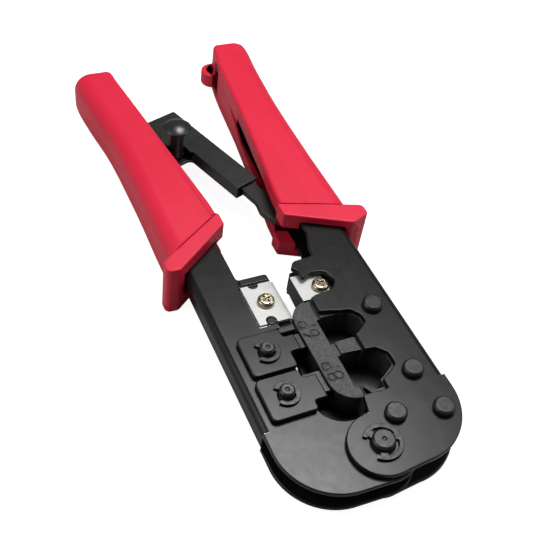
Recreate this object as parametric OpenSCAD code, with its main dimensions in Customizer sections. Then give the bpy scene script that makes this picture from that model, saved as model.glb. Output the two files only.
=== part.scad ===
// Ratchet crimping tool for modular telephone and network plugs.
// The tool lies on its back. X runs across it, Y runs from the pivot towards the handles, and Z is up.
// The origin is on the pivot axis, in the plane that the tool rests on.

/* [Head] */
// Width of the head over both channels
head_w = 60; // [58:1:72]
// Thickness of the fixed channel over its two plates
frame_t = 13; // [12.6:0.1:15.6]
// Sheet thickness of the fixed channel
frame_sheet = 1.8; // [1.5:0.1:2]
// Sheet thickness of the moving channel
lever_sheet = 1.6; // [1.3:0.1:1.9]
// Radius of the round end of the fixed plates, about the pivot
boss_r = 10.4; // [8.7:0.1:12.5]
// Radius of the outer corner of the fixed plates
frame_nose_r = 20; // [17:1:24]
// Radius of the outer corner of the moving plates
lever_nose_r = 19; // [16:1:22]

/* [Plug pockets] */
// Width of the eight position pocket
pocket_8p_w = 12; // [10:0.1:14]
// Width of the six position pocket
pocket_6p_w = 10; // [8.4:0.1:11]
// Depth of both pockets, from the contact side to the latch side
pocket_d = 8.1; // [6.8:0.1:9.7]
// Distance from the pivot to the middle of the eight position pocket
pocket_8p_y = 27; // [26:0.5:28.5]
// Wall between the two pockets
pocket_wall = 5.1; // [4:0.1:6.1]

/* [Pins] */
// Diameter of the pivot pin
pivot_d = 7; // [6:0.1:8.4]
// Diameter of the two punch pins
punch_pin_d = 4.8; // [4:0.1:5.8]
// Diameter of the rivets in the head
rivet_d = 5; // [4:0.1:5.6]
// Running clearance on radius between a pin and what turns on it
pin_play = 0.05; // [0.03:0.01:0.1]

/* [Blades] */
// Thickness of both blades
blade_t = 1; // [0.8:0.1:1.2]
// Gap between the two blade edges with the handles open
blade_gap = 6.4; // [6.2:0.1:7.7]
// Diameter of the two blade screws
blade_screw_d = 3; // [2.5:0.1:3.6]

/* [Handles] */
// Thickness of both grips
grip_t = 20; // [19.4:0.1:24]
// Distance from the pivot to the end of the moving grip
lever_grip_end = 188; // [185:1:226]
// Distance from the pivot to the end of the fixed grip
frame_grip_end = 196; // [193:1:236]

/* [Ratchet strut] */
// Width of the strut housing
housing_w = 9.8; // [9.4:0.1:11.7]
// Sheet thickness of the strut housing
housing_sheet = 1.1; // [0.9:0.1:1.3]
// Thickness of the toothed rack
rack_t = 2.5; // [2.1:0.1:2.7]
// Height of the release knob above the strut housing
knob_h = 11.8; // [10:0.1:14]

/* [Hidden] */
$fn = 64;

// Levels, all counted from the middle of the tool's thickness
mid_z = grip_t / 2;
frame_top = mid_z + frame_t / 2;
frame_in = frame_t / 2 - frame_sheet;
plate_play = 0.15;
lever_out = frame_in - plate_play;
lever_in = lever_out - lever_sheet;
lever_top = mid_z + lever_out;
strip_top = lever_top - 0.5;
part_gap = 0.1;
close_gap = 0.3;
overlap = 0.01;

// Head layout
wall_x = head_w / 2;
frame_nose = [wall_x - frame_nose_r, frame_nose_r - boss_r + 1];
lever_nose = [-wall_x + lever_nose_r, lever_nose_r - boss_r - 0.2];
bend_y = 15;
bend_r = 2.6;
window_y = 16.2;
pocket_x = 2.9;
pocket_end = pocket_x + pocket_d;
pocket_6p_y = pocket_8p_y + (pocket_8p_w + pocket_6p_w) / 2 + pocket_wall;
pocket_8p_latch = [10.6, 6.4];
pocket_6p_latch = [9, 5.4];
window_top = pocket_6p_y + pocket_6p_w / 2;

// Die block
strip_x = -4.4;
strip_low = 17;
strip_high = 56.8;
strip_r = 8;
die_x = wall_x - 4;
slot_play = 0.9;
side_lug = [[-10.5, 48], [-2, 52.5]];

// Rivets in the head, from the pivot outwards
rivet_places = [[8.2, 7.3], [22.8, 4.2], [21, 19.4], [21.4, 46.3]];
rivet_head_d = rivet_d + 1.7;
rivet_head_h = 2.2;

// Pivot pin
pivot_top = frame_top + 2.4;
clip_t = 0.9;
clip_groove = 0.7;
lobe_r = 7.2;

// Moving channel
lever_inner_x = -11.5;
strip_relief = [-3.4, 19.5];
strip_relief_r = 8.6;
handle_inner_x = -15.2;
saddle_t = 1.85;
punch_8p = [-19, 23.9];
punch_6p = [-18.3, 39.9];
saddle_size = [14.4, 15];
saddle_back = mid_z - lever_out - saddle_t;
saddle_8p_nose = [punch_8p[1] - 4.4, punch_8p[1] + 4.2];
saddle_6p_nose = [punch_6p[1] - 1.9, punch_6p[1] + 4.1];
nose_x = -7.5;
punch_half = [6.6, 6.4];
punch_8p_tip = 0.4;
punch_6p_tip = -1.2;
punch_groove = 0.5;
punch_pitch = 1.02;
comb_tooth = 0.5;
comb_depth = 2.6;

// Blades
blade_left = -15.6;
blade_edge = -4.1;
blade_low = 50.8;
blade_high = 67.3;
blade_z = lever_top - 0.4;
blade_notch = [-11.3, 1.8];
frame_blade_edge = blade_edge + blade_gap;
frame_blade_end = 12.6;
cutter_end = 16;
lip_x = -5.2;
lip_high = 70.6;
lever_screw = [-10.1, 59.2];
frame_screw = [10.2, 61];
screw_head_d = 5.6;

// Handles
lever_steel_end = lever_grip_end - 9;
frame_steel_end = frame_grip_end - 9;
grip_play = 0.25;
grip_soft_r = 6;
grip_edge_r = 1.4;
collar_band = 4.6;
ear_place = [22.6, frame_grip_end - 5.4];
ear_d = 9.6;
ear_low = 4.5;
ear_high = 10.5;

// Mouth of each grip: its inner corner, its corner at the channel's wall and the end of its tab
lever_mouth = [[-11.6, 92.3], [-wall_x - 2.6, 76.4], [-wall_x - 7, 76.6]];
frame_mouth = [[9.6, 90.4], [wall_x + 1.9, 79.7], [wall_x + 8.9, 82.6]];

// Strut layout: u runs along the strut towards the head, w runs across it to the right
housing_hinge = [-23.6, 148.1];
rack_hinge = [20, 101];
strut_angle = 19.6;
housing_out = lever_in - close_gap;
housing_in = housing_out - housing_sheet;
bar_right = 23.9;
bar_left = bar_right - housing_w;
bar_end = 40.2;
pad_start = -8.8;
pad_end = 12.6;
knob_place = [10.1, 10.1];
pawl_hinge = [0.7, 8.2];
hinge_d = 4;
pad_r = 4;
pawl_pin_d = 3;
pawl_t = 1.4;
stem_r = 2.5;
pawl_low = mid_z - housing_in + 0.2;
tooth_tip = bar_left + housing_sheet + 1.3;

function unit(v) = v / norm(v);

// One corner of an outline, as the points of its round; the radius is the corner's third number
function corner_points(before, here, after) =
    here[2] == 0 ? [[here[0], here[1]]] :
    let (
        p = [here[0], here[1]],
        a = unit([before[0], before[1]] - p),
        b = unit([after[0], after[1]] - p),
        half = acos(a * b) / 2,
        centre = p + unit(a + b) * here[2] / sin(half),
        first = p + a * here[2] / tan(half) - centre,
        turn = (cross(a, b) > 0 ? -1 : 1) * (180 - 2 * half),
        steps = 6
    )
    [for (i = [0:steps]) let (t = turn * i / steps)
        centre + [first[0] * cos(t) - first[1] * sin(t), first[0] * sin(t) + first[1] * cos(t)]];

function rounded(corners) =
    let (n = len(corners))
    [for (i = [0:n - 1]) each corner_points(corners[(i + n - 1) % n], corners[i], corners[(i + 1) % n])];

function strut_point(p) =
    housing_hinge
    + p[0] * [sin(strut_angle), -cos(strut_angle)]
    + p[1] * [cos(strut_angle), sin(strut_angle)];

module slab(low, high) {
    translate([0, 0, low]) linear_extrude(high - low) children();
}

module upright(place, d, low, high) {
    translate([place[0], place[1], low]) cylinder(h = high - low, d = d);
}

// Carries a shape drawn in the strut's own directions to its place on the tool
module along_strut() {
    multmatrix([
        [sin(strut_angle), cos(strut_angle), 0, housing_hinge[0]],
        [-cos(strut_angle), sin(strut_angle), 0, housing_hinge[1]],
        [0, 0, 1, 0],
        [0, 0, 0, 1]
    ]) children();
}

// Section of a folded channel, run along Y, with its wall on the side that x points to
module folded_bar(wall, half_t, round_r, from, to, depth) {
    translate([0, to, 0]) rotate([90, 0, 0]) linear_extrude(to - from)
        polygon(rounded([
            [wall, mid_z - half_t, round_r],
            [wall, mid_z + half_t, round_r],
            [wall - depth, mid_z + half_t, 0],
            [wall - depth, mid_z - half_t, 0]
        ]));
}

// A channel cut from its outline: two plates, joined by the wall beyond the bend
module channel(wall, half_t, sheet, depth, end) {
    difference() {
        intersection() {
            slab(mid_z - half_t, mid_z + half_t) children();
            union() {
                translate([-head_w, -head_w, 0]) cube([2 * head_w, head_w + bend_y, grip_t]);
                folded_bar(wall, half_t, bend_r, bend_y - overlap, end + 1, depth);
            }
        }
        folded_bar(wall - sign(depth) * sheet, half_t - sheet, bend_r - sheet, bend_y, end + 2, 2 * depth);
        translate([-head_w, -head_w, mid_z - half_t + sheet])
            cube([2 * head_w, head_w + bend_y + overlap, 2 * (half_t - sheet)]);
    }
}

// Relief beside a pocket for the plug's latch, as corners from its far end to its near end
function latch_corners(y, size) = [
    [pocket_end, y + size[0] / 2, 0.8],
    [pocket_end + size[1] * 0.55, y + size[0] / 2 - 0.4, 2],
    [pocket_end + size[1], y + size[0] / 2 - 3.4, 2],
    [pocket_end + size[1], y - size[0] / 2 + 2.8, 1.6],
    [pocket_end + size[1] * 0.3, y - size[0] / 2, 1],
    [pocket_end, y - size[0] / 2 - 0.9, 0]
];

module frame_outline() {
    circle(boss_r);
    polygon([
        [0, -boss_r],
        [frame_nose[0], frame_nose[1] - frame_nose_r],
        [frame_nose[0], frame_nose[1]],
        [0, 0]
    ]);
    intersection() {
        translate(frame_nose) circle(frame_nose_r);
        translate([frame_nose[0] - overlap, frame_nose[1] - frame_nose_r]) square(frame_nose_r + overlap);
    }
    polygon(rounded(concat([
        [0, 0, 0],
        [frame_nose[0], 0, 0],
        [frame_nose[0], frame_nose[1], 0],
        [wall_x, frame_nose[1], 0],
        [wall_x, frame_steel_end, 3],
        [frame_steel_end / 10 + 3, frame_steel_end, 3],
        [15.6, 92, 4],
        [15.6, 84, 2],
        [13.4, 77.5, 2.4],
        [12.6, 72.6, 1.6],
        [5, 72, 2.4],
        [3.2, 69.4, 0.8],
        [4.9, 67.4, 0.5],
        [4.9, 63.8, 0.9],
        [8.6, 65.6, 1.6],
        [13.4, 65, 3],
        [15, 60.4, 2.4],
        [12.4, 57, 2.4],
        [5.8, 56.3, 1],
        [4, 55.6, 0.4],
        [4, window_top + 1.4, 0.6],
        [pocket_end - 2, window_top + 0.2, 1]
    ],
    latch_corners(pocket_6p_y, pocket_6p_latch),
    latch_corners(pocket_8p_y - 1, pocket_8p_latch),
    [
        [pocket_end, window_y, 0.6],
        [2.4, window_y + 0.3, 0.5],
        [1, boss_r, 1]
    ])));
}

// Web that closes the back plate under the pockets and the strip, and stops the plugs
module back_web() {
    polygon(rounded([
        [0, 8, 0],
        [-7.6, 14.5, 3],
        [-7.6, 30, 2],
        [-5.4, 48, 2],
        [-5.4, 55, 1],
        [5, 55, 0],
        [18, 50, 0],
        [19, 14, 0],
        [8, 8, 0]
    ]));
}

module frame_channel() {
    color("#2b2c2d") difference() {
        union() {
            channel(wall_x, frame_t / 2, frame_sheet, wall_x * 1.5, frame_steel_end) frame_outline();
            slab(mid_z - frame_t / 2, mid_z - frame_in) back_web();
        }
        upright([0, 0], pivot_d, 0, grip_t);
        for (place = rivet_places) upright(place, rivet_d, 0, grip_t);
        upright(rack_hinge, hinge_d, 0, grip_t);
    }
}

// The pocket that a plug fills, with the relief for its latch
module pocket(y, w, latch) {
    relief = [min(latch[0], w - 0.4), latch[1] - 0.3];
    translate([pocket_x, y - w / 2]) square([pocket_d, w]);
    polygon(rounded(concat([[pocket_x + 1, y, 0]], latch_corners(y, relief))));
}

module die_outline() {
    difference() {
        union() {
            polygon(rounded([
                [strip_x, strip_low, strip_r],
                [die_x, strip_low, 0],
                [die_x, strip_high, 2],
                [strip_x, strip_high, strip_r]
            ]));
            polygon(rounded([
                [9, 5, 2],
                [die_x, 5, 3],
                [die_x, strip_low + 1, 0],
                [2.9, strip_low + 1, 0],
                [2.9, 14.5, 1],
                [9, 12, 2]
            ]));
            for (i = [0, 1]) translate(rivet_places[i]) circle(3.3);
        }
        pocket(pocket_8p_y, pocket_8p_w, pocket_8p_latch);
        pocket(pocket_6p_y, pocket_6p_w, pocket_6p_latch);
    }
}

// Lug on the strip's side that stands between the moving plates, above the six position punch
module die_lug() {
    slab(mid_z - lever_in + 0.5, mid_z + lever_in - 0.4) polygon(rounded([
        [side_lug[0][0], side_lug[0][1], 1.6],
        [side_lug[1][0], side_lug[0][1], 0],
        [side_lug[1][0], side_lug[1][1], 0],
        [side_lug[0][0], side_lug[1][1], 1.6]
    ]));
}

module die_block() {
    exposed = strip_top - mid_z;
    recess_low = strip_low + 1;
    color("#3a3b3b") difference() {
        union() {
            slab(mid_z - frame_in, mid_z + frame_in) die_outline();
            die_lug();
        }
        for (side = [-1, 1])
            translate([-20, 0, mid_z + side * exposed + (side < 0 ? -10 : 0)])
                cube([20 + pocket_x + 1.1, strip_high + 1, 10]);
        translate([pocket_x + 1.6, recess_low, mid_z - 1])
            cube([pocket_d - 1.6, pocket_8p_y - recess_low, grip_t]);
        punch_slot(pocket_8p_y, 8);
        punch_slot(pocket_6p_y, 6);
        for (place = rivet_places) upright(place, rivet_d, 0, grip_t);
        upper_relief();
    }
}

// Slot in the die's contact wall, which the punch slides through
module punch_slot(y, count) {
    width = count * punch_pitch + 2 * slot_play;
    translate([strip_x - 1, y - width / 2, mid_z - lever_in])
        cube([pocket_x - strip_x + 1.6, width, 2 * lever_in]);
}

// The die is cut back behind the fixed blade and its block
module upper_relief() {
    translate([frame_blade_edge - 0.2, strip_high - 0.6, 0]) cube([wall_x, 20, grip_t]);
}

module rivet(place) {
    low = mid_z - frame_t / 2;
    upright(place, rivet_d, low - overlap, frame_top + overlap);
    for (side = [-1, 1])
        translate([place[0], place[1], mid_z + side * frame_t / 2]) mirror([0, 0, side < 0 ? 1 : 0]) {
            cylinder(h = rivet_head_h - 0.7, d = rivet_head_d);
            translate([0, 0, rivet_head_h - 0.7])
                cylinder(h = 0.7, d1 = rivet_head_d, d2 = rivet_head_d - 1.2);
        }
}

module frame_rivets() {
    color("#232425") for (place = rivet_places) rivet(place);
}

// Pin with a head at the back, a groove above the top plate and a chamfered end
module grooved_pin(place, d, head_d, low, seat_low, seat_top, top, groove) {
    translate([place[0], place[1], 0]) rotate_extrude() polygon([
        [0, low],
        [head_d / 2 - 0.6, low],
        [head_d / 2, low + 0.6],
        [head_d / 2, seat_low],
        [d / 2, seat_low],
        [d / 2, seat_top],
        [d / 2 - groove, seat_top],
        [d / 2 - groove, seat_top + clip_t],
        [d / 2, seat_top + clip_t],
        [d / 2, top - 0.6],
        [d / 2 - 0.6, top],
        [0.7, top],
        [0.4, top - 0.4],
        [0, top - 0.4]
    ]);
}

// Retaining clip that snaps on from the right; its mouth faces the outer side
module clip(place, d, groove, outer_d, low, mouth) {
    inner = d / 2 - groove;
    translate([place[0], place[1], low]) rotate([0, 0, mouth]) linear_extrude(clip_t) {
        difference() {
            circle(d = outer_d);
            circle(d = outer_d - 3);
            polygon([[0, 0], [outer_d, outer_d * 0.84], [outer_d, -outer_d * 0.84]]);
        }
        for (turn = [62, 180, -62]) rotate(turn) difference() {
            translate([inner, -d * 0.16]) square([outer_d / 2 - 0.8 - inner, d * 0.32]);
            circle(r = inner);
        }
    }
}

module pivot_pin() {
    seat = mid_z - frame_t / 2;
    color("#3f4041") grooved_pin([0, 0], pivot_d, pivot_d + 5, 0, seat, frame_top, pivot_top, clip_groove);
}

module pivot_clip() {
    color("#2f3031") clip([0, 0], pivot_d, clip_groove, pivot_d + 5, frame_top, 185);
}

// Closed skin over a row of rings that all have the same number of points
module loft(rings) {
    n = len(rings[0]);
    last = (len(rings) - 1) * n;
    polyhedron([for (ring = rings) each ring], concat(
        [for (i = [0:n:last - n]) for (k = [0:n - 1]) let (next = (k + 1) % n) each [
            [i + k, i + next, i + n + next],
            [i + k, i + n + next, i + n + k]
        ]],
        [[for (k = [n - 1:-1:0]) k]],
        [[for (k = [0:n - 1]) last + k]]
    ));
}

// Round wire swept along a list of points
module wire(points, r) {
    sides = 8;
    n = len(points);
    function heading(i) = unit(points[min(i + 1, n - 1)] - points[max(i - 1, 0)]);
    function across(i) = unit(cross(heading(i), [0.02, 0.01, 1]));
    loft([for (i = [0:n - 1]) let (a = across(i), b = cross(heading(i), a))
        [for (k = [0:sides - 1]) points[i] + r * (cos(360 * k / sides) * a + sin(360 * k / sides) * b)]]);
}

// Torsion spring about the pivot pin, between the moving plates
module return_spring() {
    turns = 3.5;
    coil_r = pivot_d / 2 + 1.3;
    wire_r = 0.55;
    low = mid_z - lever_in + wire_r + 0.3;
    rise = 2 * (lever_in - wire_r - 0.3);
    steps = 63;
    leg = 12;
    coil = [for (i = [0:steps]) let (t = -90 - 360 * turns * i / steps)
        [coil_r * cos(t), coil_r * sin(t), low + rise * i / steps]];
    color("#8a8c8e") wire(concat([[leg + 2, -coil_r, low]], coil, [[-leg, coil_r, low + rise]]), wire_r);
}

// Black block that backs the fixed blade and stops the cable
module cutter_block() {
    color("#161718") difference() {
        slab(mid_z - frame_in, strip_top - 0.1 - blade_t) polygon(rounded([
            [frame_blade_edge + 0.3, strip_high + 0.6, 0.5],
            [cutter_end, strip_high + 0.6, 0.5],
            [cutter_end, 70.4, 1],
            [frame_blade_edge + 0.9, 70.4, 1]
        ]));
        upright(frame_screw, blade_screw_d, 0, grip_t);
    }
}

module frame_blade() {
    low = strip_top - 0.1 - blade_t;
    color("#d4d6d8") difference() {
        slab(low, low + blade_t) polygon([
            [frame_blade_edge, strip_high],
            [frame_blade_end, strip_high],
            [frame_blade_end, blade_high + 0.4],
            [frame_blade_edge, blade_high + 0.4]
        ]);
        edge_bevel(frame_blade_edge, strip_high, blade_high + 0.4, low, -1);
        upright(frame_screw, blade_screw_d, 0, grip_t);
    }
}

// Wedge that grinds the sharp edge of a blade, away from the face that shears
module edge_bevel(x, from, to, low, side) {
    depth = blade_t * 0.8;
    heel_x = x + sign(x) * 1.6;
    face = side > 0 ? low + blade_t : low;
    clear = face + side * 0.1;
    translate([0, to + 1, 0]) rotate([90, 0, 0]) linear_extrude(to - from + 2)
        polygon([[x, face - side * depth], [x, clear], [heel_x, clear], [heel_x, face]]);
}

// Cross-recess screw: a low cheese head with a rounded rim
module pan_screw(place, seat, shank_low) {
    head_h = 1.9;
    translate([place[0], place[1], 0]) difference() {
        rotate_extrude() polygon([
            [0, shank_low],
            [blade_screw_d / 2 - 0.3, shank_low],
            [blade_screw_d / 2, shank_low + 0.3],
            [blade_screw_d / 2, seat],
            [screw_head_d / 2, seat],
            [screw_head_d / 2, seat + head_h * 0.5],
            [screw_head_d / 2 - 0.3, seat + head_h * 0.8],
            [screw_head_d / 2 - 1, seat + head_h],
            [0, seat + head_h]
        ]);
        for (turn = [20, 110]) translate([0, 0, seat + head_h - 1]) rotate([0, 0, turn])
            translate([-1.6, -0.35, 0]) cube([3.2, 0.7, 2]);
    }
}

module frame_blade_screw() {
    color("#b7a98c") pan_screw(frame_screw, strip_top - 0.1, mid_z - frame_in + 0.6);
}

module lever_blade_screw() {
    color("#b7a98c") pan_screw(lever_screw, blade_z + blade_t, mid_z - lever_in + 0.6);
}

// Tongue of the front plate with the peg that the moving blade's lower notch sits against
module blade_peg() {
    r = blade_notch[1] - 0.3;
    translate([blade_notch[0], blade_low + 1]) circle(r);
    translate([blade_notch[0] - r, blade_low - 2.2]) square([2 * r, 3.2]);
}

module lever_outline(front) {
    difference() {
        union() {
            circle(lobe_r);
            intersection() {
                circle(boss_r + 0.6);
                translate([-boss_r, -2 * boss_r]) square([boss_r + 9, 2 * boss_r + 1]);
            }
            polygon([
                [lever_nose[0], lever_nose[1] - lever_nose_r],
                [0, -boss_r - 0.6],
                [0, lobe_r],
                [lever_nose[0], lever_nose[1]]
            ]);
            intersection() {
                translate(lever_nose) circle(lever_nose_r);
                translate([-wall_x, lever_nose[1] - lever_nose_r]) square(lever_nose_r + overlap);
            }
            polygon(rounded(concat([
                [-wall_x, lever_nose[1], 0],
                [lever_nose[0], lever_nose[1] - 1, 0],
                [0, 0, 0],
                [1.6, lobe_r - 0.6, 0],
                [1.6, 11.4, 0],
                [lever_inner_x, 20, 0]
            ],
            front ? [
                [lever_inner_x, blade_low - 0.3, 0.8],
                [blade_left - 0.2, blade_low - 0.3, 0.5],
                [blade_left - 0.2, blade_high + 0.3, 0.5],
                [lip_x, blade_high + 0.3, 0.4],
                [lip_x, lip_high, 0.8]
            ] : [
                [lever_inner_x, blade_low - 0.3, 2]
            ],
            [
                [handle_inner_x, lip_high + 0.4, 1.6],
                [handle_inner_x, 98, 20],
                [handle_inner_x - lever_steel_end / 22, lever_steel_end, 3],
                [-wall_x, lever_steel_end, 3]
            ])));
            if (front) blade_peg();
        }
    }
}

module lever_channel() {
    color("#2e2f30") difference() {
        union() {
            difference() {
                channel(-wall_x, lever_out, lever_sheet, -wall_x * 1.5, lever_steel_end) lever_outline(true);
                upright(strip_relief, 2 * strip_relief_r, mid_z, grip_t);
                translate([lever_inner_x - 4, blade_low - 2, 0]) cube([20, 25, mid_z]);
                translate([handle_inner_x, blade_low - 2, 0]) cube([20, 25, mid_z]);
            }
            slab(lever_top - overlap, lever_top + 0.75) polygon(rounded([
                [handle_inner_x - 0.2, blade_high + 0.5, 0.4],
                [lip_x, blade_high + 0.5, 0.4],
                [lip_x, lip_high, 0.8],
                [handle_inner_x + 0.3, lip_high, 0.4]
            ]));
            slab(lever_top - overlap, blade_z + blade_t - 0.2) translate([blade_notch[0], blade_low + 1])
                circle(blade_notch[1] - 0.3);
        }
        upright([0, 0], pivot_d + 2 * pin_play, 0, grip_t);
        for (place = [punch_8p, punch_6p]) upright(place, punch_pin_d, 0, grip_t);
        upright(housing_hinge, hinge_d, 0, grip_t);
    }
}

// Steel punch between the moving plates; its comb pushes a plug's contacts down
module punch(centre, tip, y, count) {
    width = (count - 1) * punch_pitch + comb_tooth;
    half_z = lever_in - part_gap;
    difference() {
        slab(mid_z - half_z, mid_z + half_z) {
            translate(centre - punch_half) square(2 * punch_half);
            translate([centre[0], y - width / 2]) square([tip - centre[0], width]);
        }
        upright(centre, punch_pin_d, 0, grip_t);
        for (i = [0:count - 2]) translate([tip - comb_depth, y - width / 2 + comb_tooth + i * punch_pitch, 0])
            cube([comb_depth + 1, punch_pitch - comb_tooth, grip_t]);
    }
}

module punch_8p() {
    color("#4a4b4d") punch(punch_8p, punch_8p_tip, pocket_8p_y, 8);
}

module punch_6p() {
    color("#4a4b4d") punch(punch_6p, punch_6p_tip, pocket_6p_y, 6);
}

// Saddle plate with rounded corners; a front one has a nose that reaches towards the strip
module saddle(centre, low, nose) {
    left = centre - saddle_size / 2;
    right = centre + saddle_size / 2;
    difference() {
        slab(low, low + saddle_t) polygon(rounded(concat([
            [left[0], left[1], 1.8],
            [right[0], left[1], 1.2]
        ],
        nose ? [
            [right[0], nose[0], 0.8],
            [nose_x, nose[0], 0.4],
            [nose_x, nose[1], 0.4],
            [right[0], nose[1], 0.8]
        ] : [],
        [
            [right[0], right[1], 1.2],
            [left[0], right[1], 1.8]
        ])));
        upright(centre, punch_pin_d, 0, grip_t);
    }
}

module saddle_8p_front() {
    color("#333435") saddle(punch_8p, lever_top, saddle_8p_nose);
}

module saddle_6p_front() {
    color("#333435") saddle(punch_6p, lever_top, saddle_6p_nose);
}

module saddle_8p_back() {
    color("#333435") saddle(punch_8p, saddle_back, false);
}

module saddle_6p_back() {
    color("#333435") saddle(punch_6p, saddle_back, false);
}

module punch_pins() {
    head_d = punch_pin_d + 3;
    low = saddle_back - 1.6;
    seat = lever_top + saddle_t;
    color("#3f4041") for (place = [punch_8p, punch_6p])
        grooved_pin(place, punch_pin_d, head_d, low, saddle_back, seat, seat + 2.9, punch_groove);
}

module punch_clips() {
    color("#2f3031") for (place = [punch_8p, punch_6p])
        clip(place, punch_pin_d, punch_groove, punch_pin_d + 3.6, lever_top + saddle_t, 175);
}

// Block between the moving plates that the moving blade is screwed to
module blade_seat() {
    color("#1d1e1f") difference() {
        slab(mid_z - lever_in + part_gap, blade_z) translate([blade_left, blade_low + 5.4])
            square([-7 - blade_left, blade_high - blade_low - 5.4]);
        upright(lever_screw, blade_screw_d, 0, grip_t);
    }
}

module lever_blade() {
    color("#d9dbdd") difference() {
        slab(blade_z, blade_z + blade_t) polygon([
            [blade_left, blade_low],
            [blade_edge, blade_low],
            [blade_edge, blade_high],
            [blade_left, blade_high]
        ]);
        for (y = [blade_low + 1, blade_high]) upright([blade_notch[0], y], 2 * blade_notch[1], 0, grip_t);
        translate([blade_notch[0] - blade_notch[1], blade_low - 1, 0]) cube([2 * blade_notch[1], 2, grip_t]);
        edge_bevel(blade_edge, blade_low, blade_high, blade_z, 1);
        upright(lever_screw, blade_screw_d, 0, grip_t);
    }
}

// Smooth curve through a list of stations; t counts stations
function along(stations, t) =
    let (
        n = len(stations) - 1,
        i = min(floor(t), n - 1),
        f = t - i,
        a = stations[max(i - 1, 0)],
        b = stations[i],
        c = stations[i + 1],
        d = stations[min(i + 2, n)]
    )
    b + 0.5 * f * (c - a + f * (2 * a - 5 * b + 4 * c - d + f * (3 * b - a - 3 * c + d)));

// Ring across a grip at one station: how far along, inner side, outer side and thickness
function grip_ring(station) =
    let (
        low = mid_z - station[3] / 2,
        high = mid_z + station[3] / 2,
        soft = min(grip_soft_r, station[3] * 0.4),
        left_r = station[1] < 0 ? soft : grip_edge_r,
        right_r = station[1] < 0 ? grip_edge_r : soft,
        left = min(station[1], station[2]),
        right = max(station[1], station[2])
    )
    [for (p = rounded([
        [left, low, left_r],
        [right, low, right_r],
        [right, high, right_r],
        [left, high, left_r]
    ])) [p[0], station[0], p[1]]];

module grip_body(stations) {
    steps = 3;
    loft([for (i = [0:steps * (len(stations) - 1)]) grip_ring(along(stations, i / steps))]);
}

// Collar: a slanting flange at the mouth of a grip, with its tab on the outer side
module collar(mouth) {
    slab(0, grip_t) polygon(rounded([
        [mouth[0][0], mouth[0][1], 0.8],
        [mouth[1][0], mouth[1][1], 2],
        [mouth[2][0], mouth[2][1], 1.8],
        [mouth[2][0], mouth[2][1] + collar_band, 2.2],
        [mouth[0][0], mouth[0][1] + 1.3 * collar_band, 0.8]
    ]));
}

// Everything of a grip on the head's side of its slanting mouth
module mouth_cut(mouth) {
    slope = (mouth[1][1] - mouth[0][1]) / (mouth[1][0] - mouth[0][0]);
    slab(-1, grip_t + 1) polygon([
        [-2 * wall_x, mouth[0][1] + slope * (-2 * wall_x - mouth[0][0])],
        [2 * wall_x, mouth[0][1] + slope * (2 * wall_x - mouth[0][0])],
        [2 * wall_x, 0],
        [-2 * wall_x, 0]
    ]);
}

module lever_grip() {
    end = lever_grip_end;
    out = -wall_x;
    slot_half = lever_in + 0.1;
    color("#e0203f") difference() {
        union() {
            grip_body([
                [80, -15, out - 3.6, grip_t - 0.2],
                [97, -12.2, out - 3.7, grip_t - 0.3],
                [end - 68, -14.6, out - 3.5, grip_t - 0.8],
                [end - 39, -18, out - 4.2, grip_t - 1],
                [end - 19, -20.6, out - 6.4, grip_t - 1],
                [end - 8, -22, out - 7.4, grip_t - 1],
                [end - 1.5, -22.6, out - 7.4, grip_t - 1.4],
                [end, -24, out - 6, grip_t - 3.4]
            ]);
            collar(lever_mouth);
        }
        steel_cavity(-1, handle_inner_x - lever_steel_end / 22, lever_steel_end, lever_out);
        mouth_cut(lever_mouth);
        strut_slot(-24, [[88, mid_z - slot_half], [171, mid_z - slot_half],
            [171, mid_z + slot_half], [88, mid_z + slot_half]]);
    }
}

module frame_grip() {
    end = frame_grip_end;
    out = wall_x;
    color("#e0203f") difference() {
        union() {
            grip_body([
                [80, 13, out + 4.8, grip_t - 0.2],
                [97, 10.8, out + 5, grip_t - 0.3],
                [end - 76, 13.8, out + 5, grip_t - 0.8],
                [end - 44, 18, out + 5.6, grip_t - 1],
                [end - 20, 20.4, out + 7.2, grip_t - 1],
                [end - 8, 22.2, out + 8.6, grip_t - 1],
                [end - 1.5, 23.8, out + 9, grip_t - 1.4],
                [end, 25.4, out + 7.6, grip_t - 3.4]
            ]);
            collar(frame_mouth);
            upright(ear_place, ear_d, ear_low, ear_high);
        }
        steel_cavity(1, frame_steel_end / 10 + 3, frame_steel_end, frame_t / 2);
        mouth_cut(frame_mouth);
        strut_slot(24, [[80, 6.4], [146, 6.4], [150, 7.6], [150, 13.6], [80, 13.6]]);
        strut_slot(19.2, [[146, 6.4], [168, 13], [146, 13.6]]);
        upright(ear_place, ear_d * 0.46, ear_low + 3, ear_high + 1);
    }
}

// Space that the steel channel fills inside a grip
module steel_cavity(side, tip_x, end, half_t) {
    half = half_t + grip_play;
    inner = side > 0 ? 15.6 : handle_inner_x;
    slab(mid_z - half, mid_z + half) polygon([
        [side * (wall_x + grip_play), 60],
        [side * (wall_x + grip_play), end + grip_play],
        [tip_x - side * grip_play, end + grip_play],
        [inner - side * grip_play, 98],
        [inner - side * grip_play, 60]
    ]);
}

// Slot that the strut folds into, out to x = reach, from its outline along and up
module strut_slot(reach, outline) {
    translate([min(reach, 0), 0, 0]) multmatrix([[0, 0, 1, 0], [1, 0, 0, 0], [0, 1, 0, 0], [0, 0, 0, 1]])
        linear_extrude(abs(reach)) polygon(outline);
}

// Round-headed hinge pin across a channel, flush with its outer faces
module cross_pin(place, half, shoulder) {
    upright(place, hinge_d, mid_z - half, mid_z + half);
    for (side = [-1, 1])
        translate([place[0], place[1], mid_z + side * (shoulder[0] + shoulder[1]) / 2])
            cylinder(h = shoulder[1] - shoulder[0], d = hinge_d + 3, center = true);
}

module housing_pin() {
    color("#55575a") cross_pin(housing_hinge, lever_out, [housing_out + 0.1, lever_in]);
}

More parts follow.
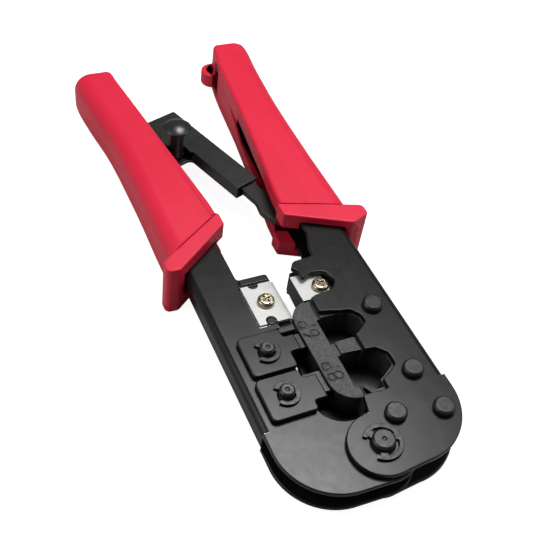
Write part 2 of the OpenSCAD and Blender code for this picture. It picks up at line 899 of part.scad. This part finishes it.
module rack_pin() {
    color("#55575a") cross_pin(rack_hinge, frame_t / 2, [rack_t / 2 + 0.1, frame_in]);
}

// Outline of one plate of the strut housing: the bar and the pad that reaches back to its hinge
module housing_outline(step) {
    polygon(rounded([
        [pad_start, 9, 0.5],
        [pad_start, bar_right, 0.8],
        [bar_end, bar_right, 0.6],
        [bar_end, bar_left, 0.6],
        [pad_end + 2.2, bar_left, 1.6],
        [pad_end + step, bar_left - 1.6, 0.6],
        [pad_end + step, 8, 3],
        [pad_r, -pad_r, pad_r - 0.1],
        [-pad_r, -pad_r, pad_r - 0.1]
    ]));
}

module strut_housing() {
    low = mid_z - housing_out;
    high = mid_z + housing_out;
    color("#35383a") difference() {
        along_strut() {
            slab(high - housing_sheet, high) housing_outline(0);
            slab(low, low + housing_sheet) housing_outline(1.6);
            translate([pad_end + 2.2, bar_left, low])
                cube([bar_end - pad_end - 2.2, housing_sheet, 2 * housing_out]);
        }
        upright(housing_hinge, hinge_d + 2 * pin_play, 0, grip_t);
        upright(strut_point(pawl_hinge), pawl_pin_d, 0, grip_t);
        along_strut() translate([knob_place[0] - stem_r - 0.7, knob_place[1] - stem_r - 2.2, mid_z])
            cube([10, 2 * stem_r + 2.9, 10]);
    }
}

// Curved rack: straight and toothed inside the housing, hooked round to its hinge in the fixed channel
module strut_rack() {
    inner_end = 2;
    teeth = 14;
    pitch = 1.8;
    depth = 1;
    toothed = [for (i = [teeth:-1:0]) each [
        [inner_end + 2 + (i + 0.8) * pitch, tooth_tip, 0],
        [inner_end + 2 + i * pitch, tooth_tip + depth, 0]
    ]];
    hinge = [
        (rack_hinge - housing_hinge) * [sin(strut_angle), -cos(strut_angle)],
        (rack_hinge - housing_hinge) * [cos(strut_angle), sin(strut_angle)]
    ];
    color("#2a2c2d") difference() {
        along_strut() slab(mid_z - rack_t / 2, mid_z + rack_t / 2) polygon(rounded(concat([
            [inner_end, tooth_tip + 1, 0.4],
            [inner_end, bar_right - 1.4, 0.6],
            [bar_end + 6, bar_right - 1.6, 6],
            [hinge[0] - 7, hinge[1] - 1, 4],
            [hinge[0] - 5, hinge[1] + 4.4, 4],
            [hinge[0] + 4.2, hinge[1] + 4.4, 4],
            [hinge[0] + 4.2, hinge[1] - 11.4, 7],
            [bar_end + 12.6, tooth_tip - 2.6, 5],
            [bar_end + 8, tooth_tip - 0.4, 5],
            [inner_end + 3 + (teeth + 1.4) * pitch, tooth_tip, 1]
        ], toothed)));
        upright(rack_hinge, hinge_d + 2 * pin_play, 0, grip_t);
    }
}

module pawl_pin() {
    color("#55575a") upright(strut_point(pawl_hinge), pawl_pin_d, mid_z - housing_out, mid_z + housing_out);
}

// Coil of fine wire round the pawl pin, above the pawl
module pawl_spring() {
    turns = 1.5;
    wire_r = 0.22;
    rise = 0.78;
    coil_r = pawl_pin_d / 2 + wire_r + 0.15;
    low = pawl_low + pawl_t + wire_r + 0.1;
    place = strut_point(pawl_hinge);
    steps = 28;
    color("#8a8c8e") wire([for (i = [0:steps]) let (t = 360 * turns * i / steps)
        [place[0] + coil_r * cos(t), place[1] + coil_r * sin(t), low + rise * i / steps]], wire_r);
}

// Pawl on its pin in the housing, with the knob's shank riveted through it
module pawl() {
    nose = tooth_tip - close_gap - 0.3;
    color("#4a4b4d") difference() {
        along_strut() slab(pawl_low, pawl_low + pawl_t) polygon(rounded([
            [pawl_hinge[0] - 3, pawl_hinge[1] - 3, 2.8],
            [knob_place[0] + 1.6, knob_place[1] - 3.2, 1.4],
            [knob_place[0] + 1.6, nose - 2.5, 0.5],
            [knob_place[0] + 0.6, nose, 0.3],
            [knob_place[0] - 1, nose, 0.3],
            [pawl_hinge[0] - 3, pawl_hinge[1] + 3, 2.8]
        ]));
        upright(strut_point(pawl_hinge), pawl_pin_d + 2 * pin_play, 0, grip_t);
        upright(strut_point(knob_place), stem_r * 1.2, 0, grip_t);
    }
}

// Mushroom-headed release knob on its tall stem
module release_knob() {
    head_r = 5.2;
    dome_h = 1.7;
    rim_h = 0.7;
    dome_r = (head_r * head_r + dome_h * dome_h) / (2 * dome_h);
    place = strut_point(knob_place);
    top = mid_z + housing_out + knob_h;
    rim_top = top - dome_h;
    color("#1f2021") translate([place[0], place[1], 0]) {
        rotate_extrude() polygon([
            [0, pawl_low],
            [stem_r * 0.6, pawl_low],
            [stem_r * 0.6, pawl_low + pawl_t],
            [stem_r, pawl_low + pawl_t],
            [stem_r, rim_top - rim_h],
            [head_r - 0.4, rim_top - rim_h],
            [head_r, rim_top - rim_h + 0.4],
            [head_r, rim_top],
            [0, rim_top]
        ]);
        intersection() {
            translate([0, 0, top - dome_r]) sphere(dome_r);
            translate([0, 0, rim_top - overlap]) cylinder(h = dome_h + 1, r = head_r);
        }
    }
}

frame_channel();
die_block();
frame_rivets();
pivot_pin();
pivot_clip();
return_spring();
cutter_block();
frame_blade();
frame_blade_screw();
rack_pin();
frame_grip();
lever_channel();
punch_8p();
punch_6p();
saddle_8p_front();
saddle_6p_front();
saddle_8p_back();
saddle_6p_back();
punch_pins();
punch_clips();
blade_seat();
lever_blade();
lever_blade_screw();
housing_pin();
lever_grip();
strut_housing();
pawl_pin();
pawl_spring();
pawl();
release_knob();
strut_rack();
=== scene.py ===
"""A ratchet crimping tool, lying on its back on a pale table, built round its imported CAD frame."""

from math import pi, radians

import bmesh
import bpy
from mathutils import Matrix, Vector


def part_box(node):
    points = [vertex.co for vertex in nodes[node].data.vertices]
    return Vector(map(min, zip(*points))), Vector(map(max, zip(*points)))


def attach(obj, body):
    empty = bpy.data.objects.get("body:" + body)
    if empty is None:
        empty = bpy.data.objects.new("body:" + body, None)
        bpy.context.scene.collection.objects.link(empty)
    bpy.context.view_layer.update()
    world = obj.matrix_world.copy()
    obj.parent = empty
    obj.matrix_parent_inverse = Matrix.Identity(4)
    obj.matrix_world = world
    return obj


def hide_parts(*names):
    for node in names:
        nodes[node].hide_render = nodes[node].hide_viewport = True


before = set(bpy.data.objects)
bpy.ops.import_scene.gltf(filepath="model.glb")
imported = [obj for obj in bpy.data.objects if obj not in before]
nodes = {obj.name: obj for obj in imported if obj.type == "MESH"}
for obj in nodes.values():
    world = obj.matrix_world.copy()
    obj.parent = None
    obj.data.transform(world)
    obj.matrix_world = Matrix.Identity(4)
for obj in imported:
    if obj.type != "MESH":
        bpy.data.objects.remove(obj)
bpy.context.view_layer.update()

MM = 0.001
MERGE_WITHIN = 0.002  # mm: CAD corners this close are one corner
FLAT_WITHIN = 0.6  # degrees: triangles this nearly level are one face
TIGHT_CORNER = 32  # degrees: an edge this close to a neighbour at its end stays sharp
RUNS_ON = -0.6  # cosine: below this the next edge carries the same line on
SMOOTH_UP_TO = 36  # degrees
FLAT_WEIGHT = 90

GRIP_ROUND = 0.6  # mm
GRIP_SHARP = 40  # degrees
WIRE_SMOOTH = 60  # degrees

MARKS = (("8P", 28.5), ("6P", 45.5))  # each mark and its place along the strip, mm
MARK_X = -0.9
MARK_SIZE = 7.8
MARK_EXTRUDE = 0.5
MARK_STROKE = 0.12
STRIP_DROP = 0.65  # mm: the strip's face below the top of the die
MARK_LIFT = 0.1

TABLE_TONE = 0.4
TABLE_GLOW = 0.92
FILL_LIGHT = 0.1
LENS = 54.64

COLOR_A, COLOR_B, COLOR_RESULT = 6, 7, 2  # the colour sockets of a Mix node


# ---------------------------------------------------------------- places read from the frame

die_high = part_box("die_block")[1]


# ---------------------------------------------------------------- workshop helpers

def put_down_everything():
    """Leaves edit mode and deselects every object."""
    if bpy.context.object and bpy.context.object.mode != "OBJECT":
        bpy.ops.object.mode_set(mode="OBJECT")
    bpy.ops.object.select_all(action="DESELECT")


def pick_up(piece):
    put_down_everything()
    piece.select_set(True)
    bpy.context.view_layer.objects.active = piece


def run_modifiers(piece):
    """Applies all of a piece's modifiers, in order."""
    pick_up(piece)
    for modifier in list(piece.modifiers):
        bpy.ops.object.modifier_apply(modifier=modifier.name)


def copy_of(node, name):
    """A copy of a CAD node's shape, with its loose triangles merged into clean faces."""
    piece = bpy.data.objects.new(name, nodes[node].data.copy())
    piece.data.name = name
    piece.data.materials.clear()
    bpy.context.scene.collection.objects.link(piece)
    pick_up(piece)
    bpy.ops.object.mode_set(mode="EDIT")
    bpy.ops.mesh.select_all(action="SELECT")
    bpy.ops.mesh.remove_doubles(threshold=MERGE_WITHIN * MM)
    bpy.ops.mesh.dissolve_limited(angle_limit=radians(FLAT_WITHIN))
    bpy.ops.object.mode_set(mode="OBJECT")
    return piece


def mark_edges(piece, width, sharper_than):
    """Gives bevel weight to the sharp edges that have room for a round of this width at both ends."""
    shape = bmesh.new()
    shape.from_mesh(piece.data)
    weight = shape.edges.layers.float.new("bevel_weight_edge")
    sharp = {
        edge for edge in shape.edges
        if edge.is_manifold and edge.calc_face_angle(0) > radians(sharper_than)
    }
    for edge in sharp:
        crowded = False
        for corner in edge.verts:
            ray = (edge.other_vert(corner).co - corner.co).normalized()
            for near in corner.link_edges:
                if near is edge:
                    continue
                side = (near.other_vert(corner).co - corner.co).normalized()
                if near.calc_length() < width * MM and near in sharp and ray.dot(side) > RUNS_ON:
                    crowded = True
                if ray.angle(side, pi) < radians(TIGHT_CORNER):
                    crowded = True
        edge[weight] = 0 if crowded else 1
    shape.to_mesh(piece.data)
    shape.free()


def round_edges(piece, width, segments=3, sharper_than=34):
    """Rounds the sharp edges of a piece, as tumbling or moulding does."""
    mark_edges(piece, width, sharper_than)
    bevel = piece.modifiers.new("rounded edges", "BEVEL")
    bevel.width = width * MM
    bevel.segments = segments
    bevel.limit_method = "WEIGHT"
    bevel.use_clamp_overlap = False
    run_modifiers(piece)


def keep_inside(piece, node):
    """Draws any corner that a round has pushed outside the CAD node's box back onto it."""
    low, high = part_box(node)
    for corner in piece.data.vertices:
        corner.co = [min(max(value, least), most) for value, least, most in zip(corner.co, low, high)]


def smooth(piece, angle=SMOOTH_UP_TO):
    """Smooth shading up to an angle, with flat faces kept flat."""
    pick_up(piece)
    bpy.ops.object.shade_smooth_by_angle(angle=radians(angle))
    weighted = piece.modifiers.new("flat faces stay flat", "WEIGHTED_NORMAL")
    weighted.keep_sharp = True
    weighted.weight = FLAT_WEIGHT
    run_modifiers(piece)


def cut(piece, cutter):
    """Takes the cutter's shape out of the piece and throws the cutter away."""
    boolean = piece.modifiers.new("cut", "BOOLEAN")
    boolean.operation = "DIFFERENCE"
    boolean.solver = "EXACT"
    boolean.object = cutter
    run_modifiers(piece)
    bpy.data.objects.remove(cutter, do_unlink=True)


def settle(piece):
    """Puts a piece's place, turn and size into its mesh."""
    pick_up(piece)
    bpy.ops.object.transform_apply(location=True, rotation=True, scale=True)


def fit_in(piece, material, slot, body, *replaced):
    """Gives a finished piece its material, and lets it ride in place of its CAD nodes; slot is not used."""
    piece.data.materials.clear()
    piece.data.materials.append(material)
    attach(piece, body)
    if replaced:
        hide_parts(*replaced)


# ---------------------------------------------------------------- materials

class Finish:
    """A node material under construction: its shader, and short ways to add texture to it."""

    def __init__(self, name, color, metallic, roughness):
        self.material = bpy.data.materials.new(name)
        self.material.use_nodes = True
        self.nodes = self.material.node_tree.nodes
        self.links = self.material.node_tree.links
        self.shader = self.nodes["Principled BSDF"]
        self.shader.inputs["Base Color"].default_value = (*color, 1)
        self.shader.inputs["Metallic"].default_value = metallic
        self.shader.inputs["Roughness"].default_value = roughness
        self.place = self.nodes.new("ShaderNodeTexCoord").outputs["Object"]
        self.normal = None

    def stretched(self, scale):
        """The object's own coordinates, stretched along each axis."""
        mapping = self.nodes.new("ShaderNodeMapping")
        mapping.inputs["Scale"].default_value = scale
        self.links.new(self.place, mapping.inputs["Vector"])
        return mapping.outputs["Vector"]

    def noise(self, size, detail=4, rough=0.55, place=None):
        """Cloudy noise whose patches are about size millimetres across."""
        texture = self.nodes.new("ShaderNodeTexNoise")
        texture.inputs["Scale"].default_value = 1 / (size * MM)
        texture.inputs["Detail"].default_value = detail
        texture.inputs["Roughness"].default_value = rough
        self.links.new(place or self.place, texture.inputs["Vector"])
        return texture.outputs["Fac"]

    def pits(self, size):
        """Round cells, for cast grain and small pits."""
        texture = self.nodes.new("ShaderNodeTexVoronoi")
        texture.inputs["Scale"].default_value = 1 / (size * MM)
        self.links.new(self.place, texture.inputs["Vector"])
        return texture.outputs["Distance"]

    def spread(self, value, low_in, high_in, low_out, high_out):
        """Maps one range of a value onto another."""
        ranged = self.nodes.new("ShaderNodeMapRange")
        ranged.inputs["From Min"].default_value = low_in
        ranged.inputs["From Max"].default_value = high_in
        ranged.inputs["To Min"].default_value = low_out
        ranged.inputs["To Max"].default_value = high_out
        self.links.new(value, ranged.inputs["Value"])
        return ranged.outputs["Result"]

    def blend(self, amount, one, other):
        """A colour between two others; each is a colour or another blend."""
        mix = self.nodes.new("ShaderNodeMix")
        mix.data_type = "RGBA"
        self.links.new(amount, mix.inputs["Factor"])
        for color, socket in ((one, mix.inputs[COLOR_A]), (other, mix.inputs[COLOR_B])):
            if isinstance(color, tuple):
                socket.default_value = (*color, 1)
            else:
                self.links.new(color, socket)
        return mix.outputs[COLOR_RESULT]

    def rubbed_and_highlit_edges(self, reach):
        """One on convex edges and corners, nought on the faces: for rubbed wear, and for painted highlight
        lines along the edges.
        """
        geometry = self.nodes.new("ShaderNodeNewGeometry")
        bevel = self.nodes.new("ShaderNodeBevel")
        bevel.inputs["Radius"].default_value = reach * MM
        bevel.samples = 6
        dot = self.nodes.new("ShaderNodeVectorMath")
        dot.operation = "DOT_PRODUCT"
        self.links.new(geometry.outputs["Normal"], dot.inputs[0])
        self.links.new(bevel.outputs["Normal"], dot.inputs[1])
        broken = self.nodes.new("ShaderNodeMath")
        broken.operation = "MULTIPLY"
        self.links.new(self.spread(dot.outputs["Value"], 0.97, 0.8, 0, 1), broken.inputs[0])
        self.links.new(self.spread(self.noise(1.6), 0.42, 0.6, 0.2, 1), broken.inputs[1])
        return broken.outputs["Value"]

    def color(self, value):
        self.links.new(value, self.shader.inputs["Base Color"])

    def roughness(self, value):
        self.links.new(value, self.shader.inputs["Roughness"])

    def relief(self, value, height):
        """Raises the surface by a value; height is in millimetres, and calls add up."""
        bump = self.nodes.new("ShaderNodeBump")
        bump.inputs["Distance"].default_value = height * MM
        bump.inputs["Strength"].default_value = 1
        self.links.new(value, bump.inputs["Height"])
        if self.normal:
            self.links.new(self.normal, bump.inputs["Normal"])
        self.normal = bump.outputs["Normal"]
        self.links.new(self.normal, self.shader.inputs["Normal"])


def black_oxide_steel(name, dark, light, edge):
    """Satin blackened sheet steel, with faint mottling, fine grain, and edges painted light: rubbed wear
    and painted highlight lines.
    """
    steel = Finish(name, light, 0.55, 0.4)
    mottled = steel.blend(steel.spread(steel.noise(9, 5), 0.35, 0.68, 0, 1), dark, light)
    # the edge colour lightens the convex edges, partly as rubbed steel and partly as painted highlight
    # lines
    steel.color(steel.blend(steel.rubbed_and_highlit_edges(0.35), mottled, edge))
    steel.roughness(steel.spread(steel.noise(2.4, 6, 0.65), 0.3, 0.7, 0.28, 0.34))
    steel.relief(steel.noise(0.5, 3), 0.008)
    steel.relief(steel.noise(5, 2), 0.02)
    return steel.material


def sintered_steel():
    """Dark die steel with a speckled pressed grain."""
    steel = Finish("sintered die steel", (0.07, 0.07, 0.072), 0.35, 0.55)
    speckle = steel.spread(steel.noise(0.7, 6, 0.75), 0.42, 0.62, 0, 1)
    grain = steel.blend(speckle, (0.024, 0.024, 0.025), (0.055, 0.055, 0.056))
    # the edges are lighter: rubbed steel, and partly a painted highlight
    steel.color(steel.blend(steel.rubbed_and_highlit_edges(0.3), grain, (0.12, 0.12, 0.12)))
    steel.roughness(steel.spread(steel.noise(1.2, 5), 0.3, 0.7, 0.45, 0.62))
    steel.relief(steel.noise(0.45, 5, 0.7), 0.03)
    steel.relief(steel.pits(0.8), 0.02)
    return steel.material


def turned_steel():
    """Dark pins and rivets, with the marks of the tool that headed them."""
    steel = Finish("dark turned steel", (0.035, 0.035, 0.036), 0.7, 0.38)
    shade = steel.spread(steel.noise(1.4, 5, 0.7), 0.35, 0.65, 0, 1)
    worn = steel.blend(shade, (0.02, 0.02, 0.021), (0.045, 0.045, 0.047))
    # the edges are lighter: rubbed steel, and partly a painted highlight
    steel.color(steel.blend(steel.rubbed_and_highlit_edges(0.3), worn, (0.12, 0.12, 0.125)))
    steel.roughness(steel.spread(steel.noise(0.8, 4), 0.3, 0.7, 0.32, 0.46))
    steel.relief(steel.noise(0.9, 4, 0.6), 0.03)
    return steel.material


def spring_steel():
    """Oiled spring wire."""
    steel = Finish("spring wire", (0.3, 0.3, 0.31), 1, 0.32)
    shade = steel.spread(steel.noise(1.5), 0.4, 0.6, 0, 1)
    steel.color(steel.blend(shade, (0.2, 0.2, 0.21), (0.4, 0.4, 0.42)))
    steel.roughness(steel.spread(steel.noise(0.6), 0.3, 0.7, 0.25, 0.4))
    steel.relief(steel.noise(0.3, 3), 0.006)
    return steel.material


def clip_steel():
    """Blackened retaining clips, rubbed bright in places along their edges, with painted highlights on the
    same edges.
    """
    steel = Finish("blackened clip", (0.06, 0.06, 0.063), 0.8, 0.34)
    shade = steel.spread(steel.noise(1.1, 4), 0.4, 0.6, 0, 1)
    worn = steel.blend(shade, (0.02, 0.02, 0.021), (0.04, 0.04, 0.042))
    # the edges are lighter: rubbed steel, and partly a painted highlight
    steel.color(steel.blend(steel.rubbed_and_highlit_edges(0.2), worn, (0.14, 0.14, 0.145)))
    steel.roughness(steel.spread(steel.noise(0.7), 0.3, 0.7, 0.28, 0.42))
    steel.relief(steel.noise(0.4, 3), 0.01)
    return steel.material


def blade_steel():
    """Bright blade steel with fine grinding lines across the edge."""
    steel = Finish("ground blade steel", (0.46, 0.46, 0.45), 0.3, 0.45)
    lines = steel.noise(6, 3, 0.5, steel.stretched((1, 45, 1)))
    steel.color(steel.blend(steel.spread(lines, 0.3, 0.7, 0, 1), (0.4, 0.4, 0.39), (0.52, 0.52, 0.51)))
    steel.roughness(steel.spread(lines, 0.3, 0.7, 0.4, 0.52))
    steel.relief(lines, 0.006)
    steel.relief(steel.noise(0.35, 3), 0.004)
    return steel.material


def plated_screw():
    """Warm nickel plating, darker in cloudy patches."""
    plate = Finish("plated screw", (0.62, 0.54, 0.42), 1, 0.22)
    tint = plate.spread(plate.noise(1.3, 4), 0.35, 0.65, 0, 1)
    plate.color(plate.blend(tint, (0.34, 0.26, 0.16), (0.62, 0.54, 0.42)))
    plate.roughness(plate.spread(plate.noise(0.5, 4), 0.3, 0.7, 0.16, 0.34))
    plate.relief(plate.noise(0.4, 4), 0.015)
    return plate.material


def black_moulding():
    """Matt black moulded blocks behind the blades."""
    plastic = Finish("black moulding", (0.012, 0.012, 0.013), 0, 0.55)
    plastic.color(plastic.blend(plastic.noise(3), (0.009, 0.009, 0.01), (0.018, 0.018, 0.019)))
    plastic.roughness(plastic.spread(plastic.noise(0.6), 0.3, 0.7, 0.45, 0.65))
    plastic.relief(plastic.noise(0.35, 3), 0.015)
    return plastic.material


def black_lacquer():
    """Smooth black lacquer of the knob."""
    lacquer = Finish("black lacquer", (0.02, 0.021, 0.022), 0.2, 0.28)
    # the edges are lighter: rubbed lacquer, and partly a painted highlight
    lacquer.color(lacquer.blend(lacquer.rubbed_and_highlit_edges(0.4), (0.02, 0.021, 0.022), (0.07, 0.07, 0.072)))
    lacquer.roughness(lacquer.spread(lacquer.noise(1.8), 0.3, 0.7, 0.24, 0.36))
    lacquer.relief(lacquer.noise(1.2, 3), 0.01)
    return lacquer.material


def red_moulding():
    """Satin red moulded grips, with a fine spark-eroded grain and faint flow marks."""
    plastic = Finish("red moulding", (0.64, 0.016, 0.047), 0, 0.42)
    plastic.shader.inputs["Subsurface Weight"].default_value = 0.06
    plastic.shader.inputs["Subsurface Radius"].default_value = (1.2 * MM, 0.3 * MM, 0.3 * MM)
    plastic.shader.inputs["Subsurface Scale"].default_value = 1
    plastic.shader.inputs["Specular IOR Level"].default_value = 0.3
    flow = plastic.noise(14, 3, 0.5, plastic.stretched((1, 0.35, 1)))
    even = plastic.blend(plastic.spread(flow, 0.35, 0.65, 0, 1), (0.61, 0.015, 0.044), (0.66, 0.019, 0.053))
    # the edges are a lighter red: a painted highlight, and partly rubbed wear
    plastic.color(plastic.blend(plastic.rubbed_and_highlit_edges(0.3), even, (0.74, 0.05, 0.09)))
    plastic.roughness(plastic.spread(plastic.noise(1.6, 5, 0.6), 0.3, 0.7, 0.36, 0.5))
    plastic.relief(plastic.noise(0.35, 2), 0.012)
    plastic.relief(plastic.noise(3.5, 3), 0.02)
    return plastic.material


# the third colour of each is its edges' colour: rubbed steel, and partly painted highlight lines
plate_steel = black_oxide_steel(
    "black sheet steel", (0.012, 0.012, 0.0125), (0.018, 0.018, 0.0185), (0.34, 0.34, 0.34))
strut_finish = black_oxide_steel(
    "strut sheet steel", (0.036, 0.039, 0.037), (0.052, 0.056, 0.053), (0.16, 0.17, 0.17))
die_finish = sintered_steel()
pin_finish = turned_steel()
clip_finish = clip_steel()
wire_finish = spring_steel()
blade_finish = blade_steel()
screw_finish = plated_screw()
block_finish = black_moulding()
knob_finish = black_lacquer()
grip_finish = red_moulding()


# ---------------------------------------------------------------- pieces that keep their CAD outline

def worked(node, material, slot, body, edge, segments=3):
    """A CAD node's shape with rounded edges and a real finish."""
    piece = copy_of(node, node + "_shown")
    round_edges(piece, edge, segments)
    keep_inside(piece, node)
    smooth(piece)
    fit_in(piece, material, slot, body, node)
    return piece


for node, body in (("frame_channel", "frame"), ("lever_channel", "lever")):
    worked(node, plate_steel, "black_steel", body, 0.42, 4)

for saddle in ("saddle_8p_front", "saddle_6p_front", "saddle_8p_back", "saddle_6p_back"):
    worked(saddle, plate_steel, "black_steel", "lever", 0.5, 4)

worked("frame_rivets", pin_finish, "black_steel", "frame", 0.28)
worked("pivot_pin", pin_finish, "pin_steel", "frame", 0.12)
worked("punch_pins", pin_finish, "pin_steel", "lever", 0.12)
worked("rack_pin", pin_finish, "pin_steel", "frame", 0.12)
worked("housing_pin", pin_finish, "pin_steel", "lever", 0.12)
worked("pawl_pin", pin_finish, "pin_steel", "strut", 0.12)
worked("pivot_clip", clip_finish, "clip_steel", "frame", 0.22)
worked("punch_clips", clip_finish, "clip_steel", "lever", 0.2)
worked("punch_8p", pin_finish, "punch_steel", "lever", 0.08, 2)
worked("punch_6p", pin_finish, "punch_steel", "lever", 0.08, 2)
worked("frame_blade", blade_finish, "blade_steel", "frame", 0.06, 2)
worked("lever_blade", blade_finish, "blade_steel", "lever", 0.06, 2)
worked("frame_blade_screw", screw_finish, "nickel_screw", "frame", 0.1)
worked("lever_blade_screw", screw_finish, "nickel_screw", "lever", 0.1)
worked("cutter_block", block_finish, "black_plastic", "frame", 0.2)
worked("blade_seat", block_finish, "black_plastic", "lever", 0.2)
worked("strut_housing", strut_finish, "strut_steel", "strut", 0.3, 3)
worked("strut_rack", strut_finish, "strut_steel", "rack", 0.18, 2)
worked("pawl", pin_finish, "punch_steel", "ratchet_pawl", 0.12)
worked("release_knob", knob_finish, "knob_black", "ratchet_pawl", 0.25)


# ---------------------------------------------------------------- die block with its marks

def position_mark(text, place_y):
    """A stamped mark, as a solid that stands through the die's front face."""
    put_down_everything()
    bpy.ops.object.text_add(location=(0, 0, 0))
    mark = bpy.context.object
    mark.data.body = text
    mark.data.size = MARK_SIZE * MM
    mark.data.extrude = MARK_EXTRUDE * MM
    mark.data.offset = MARK_STROKE * MM
    mark.data.resolution_u = 5
    mark.data.align_x = "CENTER"
    mark.data.align_y = "CENTER"
    bpy.ops.object.convert(target="MESH")
    strip_top = die_high.z - STRIP_DROP * MM
    place = Matrix.Translation((MARK_X * MM, place_y, strip_top + MARK_LIFT * MM))
    mark.matrix_world = place @ Matrix.Rotation(pi / 2, 4, "Z")
    settle(mark)
    bpy.ops.object.mode_set(mode="EDIT")
    bpy.ops.mesh.select_all(action="SELECT")
    bpy.ops.mesh.remove_doubles(threshold=0.01 * MM)
    bpy.ops.mesh.normals_make_consistent(inside=False)
    bpy.ops.object.mode_set(mode="OBJECT")
    return mark


die = copy_of("die_block", "die_block_shown")
round_edges(die, 0.3, 3)
keep_inside(die, "die_block")
for text, along in MARKS:
    cut(die, position_mark(text, along * MM))
smooth(die)
fit_in(die, die_finish, "die_steel", "frame", "die_block")


# ---------------------------------------------------------------- grips

for node, body in (("lever_grip", "lever"), ("frame_grip", "frame")):
    grip = copy_of(node, node + "_shown")
    round_edges(grip, GRIP_ROUND, 4, GRIP_SHARP)
    keep_inside(grip, node)
    smooth(grip, GRIP_SHARP)
    fit_in(grip, grip_finish, "red_plastic", body, node)


# ---------------------------------------------------------------- springs

for node, body in (("return_spring", "frame"), ("pawl_spring", "strut")):
    spring = copy_of(node, node + "_shown")
    smooth(spring, WIRE_SMOOTH)
    fit_in(spring, wire_finish, "spring_steel", body, node)


# ---------------------------------------------------------------- table, light and camera

def pale_table():
    """A pale floor that shows white to the eye and keeps the tool's soft shadow."""
    put_down_everything()
    bpy.ops.mesh.primitive_plane_add(size=6, location=(0, 0.1, 0))
    table = bpy.context.object
    table.name = "table"
    settle(table)
    pale = bpy.data.materials.new("pale table")
    pale.use_nodes = True
    tree = pale.node_tree
    shader = tree.nodes["Principled BSDF"]
    shader.inputs["Base Color"].default_value = (TABLE_TONE, TABLE_TONE, TABLE_TONE, 1)
    shader.inputs["Roughness"].default_value = 0.9
    shader.inputs["Specular IOR Level"].default_value = 0.1
    ray = tree.nodes.new("ShaderNodeLightPath")
    lift = tree.nodes.new("ShaderNodeMath")
    lift.operation = "MULTIPLY"
    lift.inputs[1].default_value = TABLE_GLOW
    tree.links.new(ray.outputs["Is Camera Ray"], lift.inputs[0])
    shader.inputs["Emission Color"].default_value = (1, 1, 1, 1)
    tree.links.new(lift.outputs["Value"], shader.inputs["Emission Strength"])
    table.data.materials.append(pale)


def studio_world():
    """Dim even fill light; only the camera sees white beyond the table."""
    world = bpy.data.worlds.new("studio")
    bpy.context.scene.world = world
    world.use_nodes = True
    tree = world.node_tree
    background = tree.nodes["Background"]
    background.inputs["Color"].default_value = (1, 1, 1, 1)
    ray = tree.nodes.new("ShaderNodeLightPath")
    strength = tree.nodes.new("ShaderNodeMapRange")
    strength.inputs["To Min"].default_value = FILL_LIGHT
    strength.inputs["To Max"].default_value = 1
    tree.links.new(ray.outputs["Is Camera Ray"], strength.inputs["Value"])
    tree.links.new(strength.outputs["Result"], background.inputs["Strength"])


def panel(name, place, aim, width, height, power):
    """A soft rectangular lamp at a place, turned to face its aim."""
    lamp = bpy.data.lights.new(name, "AREA")
    lamp.shape = "RECTANGLE"
    lamp.size = width
    lamp.size_y = height
    lamp.energy = power
    holder = bpy.data.objects.new(name, lamp)
    bpy.context.scene.collection.objects.link(holder)
    away = Vector(place) - Vector(aim)
    holder.matrix_world = Matrix.Translation(place) @ away.to_track_quat("Z", "Y").to_matrix().to_4x4()


def camera():
    """The camera looks from beyond the nose, on the moving handle's side, down onto the tool."""
    lens = bpy.data.cameras.new("camera")
    lens.lens = LENS
    lens.sensor_width = 36
    lens.clip_start = 0.01
    holder = bpy.data.objects.new("camera", lens)
    bpy.context.scene.collection.objects.link(holder)
    right = Vector((0.9062, -0.4048, 0.1221))
    up = Vector((0.2230, 0.7030, 0.6753))
    back = right.cross(up)
    holder.matrix_world = Matrix((
        (right.x, up.x, back.x, -0.10125),
        (right.y, up.y, back.y, -0.09527),
        (right.z, up.z, back.z, 0.2165),
        (0, 0, 0, 1),
    ))
    bpy.context.scene.camera = holder


pale_table()
studio_world()
tool_centre = (0, 0.08, 0.01)
nose = (0, 0, 0.015)
panel("nose panel", (0.12, 0.2, 0.56), nose, 0.22, 0.24, 3.2)
panel("left panel", (-0.5, 0.15, 0.35), tool_centre, 0.4, 0.5, 1.6)
panel("right panel", (0.55, -0.1, 0.4), tool_centre, 0.4, 0.5, 1.2)
camera()
bpy.context.scene.view_settings.view_transform = "Standard"
